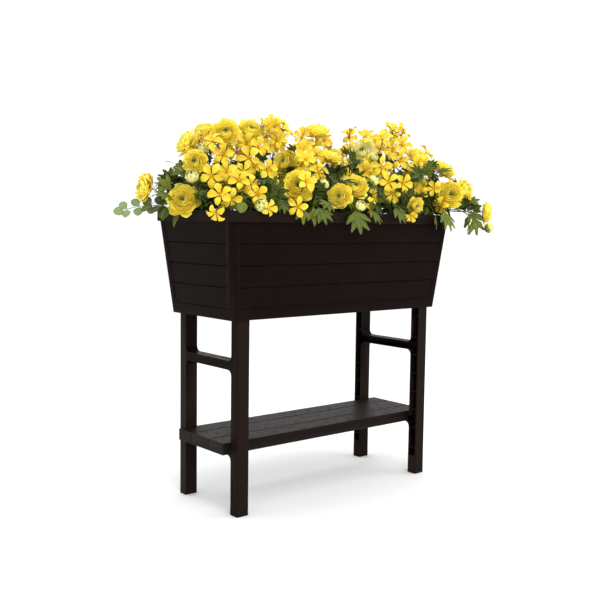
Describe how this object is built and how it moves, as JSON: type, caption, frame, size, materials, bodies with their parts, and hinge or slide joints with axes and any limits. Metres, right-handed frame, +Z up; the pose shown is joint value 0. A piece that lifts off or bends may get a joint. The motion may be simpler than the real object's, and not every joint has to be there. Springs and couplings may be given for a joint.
{
  "type": "planted raised bed",
  "caption": "Raised trough planter on a four-legged stand with a lower shelf, filled with soil and planted with yellow double blooms, small blossoms and cut leaves.",
  "frame": {"origin": "on the ground under the middle of the stand", "axes": "+X along the trough to its right end, +Y to its back, +Z up; the front faces -Y"},
  "size_m": [1.0614, 0.4529, 1.0433],
  "materials": {
    "resin": "satin moulded resin, very dark brown",
    "shelf_resin": "satin moulded resin, dark brown, dusty on top",
    "soil": "crumbly dark potting soil",
    "petal": "soft matte yellow petals",
    "blossom": "soft matte yellow blossoms on green stems",
    "leaf": "matte green leaves and stems",
    "sprig": "matte grey-green round leaves"
  },
  "bodies": {
    "root": {"planter_box": "resin", "end_frame_left": "resin", "end_frame_right": "resin", "shelf": "shelf_resin", "soil": "soil", "bloom_top_left": "petal", "bloom_top_mid_left": "petal", "bloom_left_high": "petal", "bloom_back_high": "petal", "bloom_left_mid": "petal", "bloom_left_end": "petal", "bloom_left_far": "petal", "bloom_front_middle": "petal", "bloom_mid_behind": "petal", "bloom_top_flat": "petal", "bloom_mid_flat": "petal", "bloom_pale": "petal", "bloom_front_small": "petal", "bloom_front_right_of_middle": "petal", "bloom_right_top": "petal", "bloom_right_edge": "petal", "bloom_right_front": "petal", "bloom_right_side": "petal", "bloom_right_far": "petal", "bloom_right_mid": "petal", "bloom_front_low": "petal", "bloom_rear_left": "petal", "bloom_rear_mid": "petal", "bloom_rear_right": "petal", "bloom_right_rear_end": "petal", "leafy_left": "leaf", "leafy_rear_left": "leaf", "leafy_front_left": "leaf", "leafy_middle": "leaf", "leafy_front": "leaf", "leafy_rear_right": "leaf", "leafy_right": "leaf", "leafy_front_right": "leaf", "spray_left_front": "blossom", "spray_left_middle": "blossom", "spray_upper_left": "blossom", "spray_front_middle": "blossom", "spray_upper_middle": "blossom", "spray_front_centre": "blossom", "spray_upper_right": "blossom", "spray_rear_centre": "blossom", "spray_rear_right": "blossom", "sprig_left": "sprig"}
  },
  "joints": []
}
